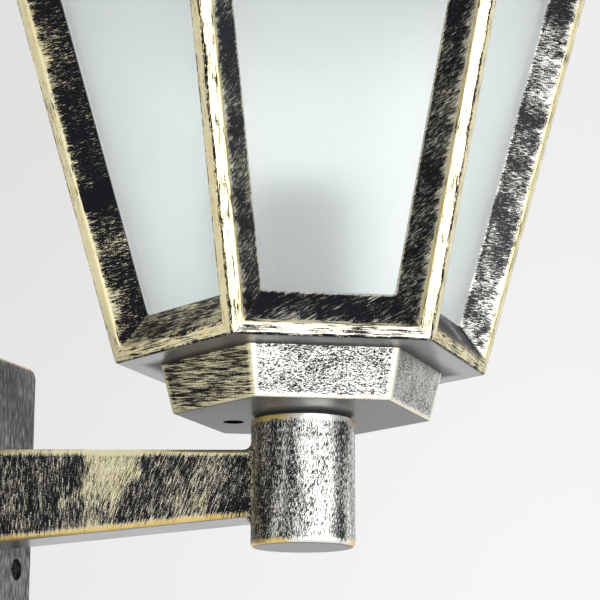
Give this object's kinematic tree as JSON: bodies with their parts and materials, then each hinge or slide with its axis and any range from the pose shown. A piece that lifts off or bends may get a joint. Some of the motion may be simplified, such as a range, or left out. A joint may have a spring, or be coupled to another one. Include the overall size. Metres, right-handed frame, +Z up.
{
  "type": "outdoor wall light",
  "caption": "Six-sided outdoor wall lantern with frosted panes and a hipped roof on a straight tapered arm and wall plate, black paint brushed with antique gold.",
  "frame": {"origin": "on the wall plane, behind the middle of the wall plate", "axes": "+X straight out from the wall towards the lantern, +Z up, +Y along the wall"},
  "size_m": [0.2466, 0.232, 0.383],
  "materials": {
    "antique_paint": "black paint with brushed antique gold on edges and in streaks",
    "frosted_glass": "frosted, faintly green-blue",
    "seal_rubber": "matt black rubber",
    "zinc_steel": "zinc-plated pressed steel",
    "screw_steel": "blackened steel screws",
    "holder_white": "white heat-resistant moulding",
    "contact_brass": "bright brass",
    "block_plastic": "pale moulded plastic"
  },
  "bodies": {
    "root": {"wall_seal": "seal_rubber", "wall_plate": "antique_paint", "wall_bracket": "zinc_steel", "plate_screws": "screw_steel", "terminal_block": "block_plastic", "terminal_screws": "contact_brass", "block_screws": "zinc_steel", "earth_washer": "contact_brass", "earth_screw": "contact_brass", "arm": "antique_paint", "arm_screws": "zinc_steel", "boss_seal": "seal_rubber", "collar": "antique_paint", "collar_screws": "zinc_steel", "cage": "antique_paint", "cage_screws": "zinc_steel", "pane_front": "frosted_glass", "pane_front_right": "frosted_glass", "pane_rear_right": "frosted_glass", "pane_rear": "frosted_glass", "pane_rear_left": "frosted_glass", "pane_front_left": "frosted_glass", "pane_clips": "zinc_steel", "clip_screws": "zinc_steel", "holder_strap": "zinc_steel", "strap_screws": "zinc_steel", "holder_base": "holder_white", "holder_skirt": "holder_white", "screw_shell": "contact_brass", "centre_contact": "contact_brass", "holder_nipple": "zinc_steel", "holder_nut": "zinc_steel", "roof_seal": "seal_rubber", "roof": "antique_paint", "roof_bar": "zinc_steel", "bar_screws": "zinc_steel", "roof_stud": "zinc_steel", "stud_nuts": "zinc_steel", "finial": "antique_paint"}
  },
  "joints": []
}
